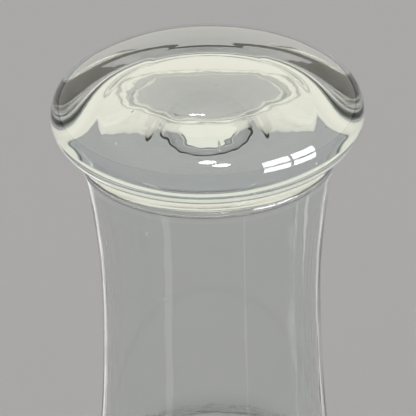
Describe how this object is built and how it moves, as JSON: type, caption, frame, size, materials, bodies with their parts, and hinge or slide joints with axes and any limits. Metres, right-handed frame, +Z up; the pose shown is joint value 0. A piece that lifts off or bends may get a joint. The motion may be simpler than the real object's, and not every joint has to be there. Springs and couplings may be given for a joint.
{
  "type": "retort flask",
  "caption": "Clear blown-glass retort flask with a flat foot, wide waisted neck, long bent beak and a heavy round-edged ground lid that lifts off.",
  "frame": {"origin": "centre of the flat foot, on the surface that the flask stands on", "axes": "+Z up along the neck's axis, +X the way the beak points, +Y across it"},
  "size_m": [0.4471, 0.17, 0.3],
  "materials": {
    "flask_glass": "clear, fire-polished, with faint drawn streaks; ground cone at the rim",
    "lid_glass": "clear, thick, slightly uneven hand-finished surface; ground cone underneath"
  },
  "bodies": {
    "flask": {"bulb": "flask_glass", "neck": "flask_glass", "beak": "flask_glass"},
    "lid": {"lid": "lid_glass"}
  },
  "joints": [
    {"name": "lid_lift", "type": "slide", "parent": "flask", "child": "lid", "axis": [0, 0, 1], "range_m": [0, 0.1]}
  ]
}
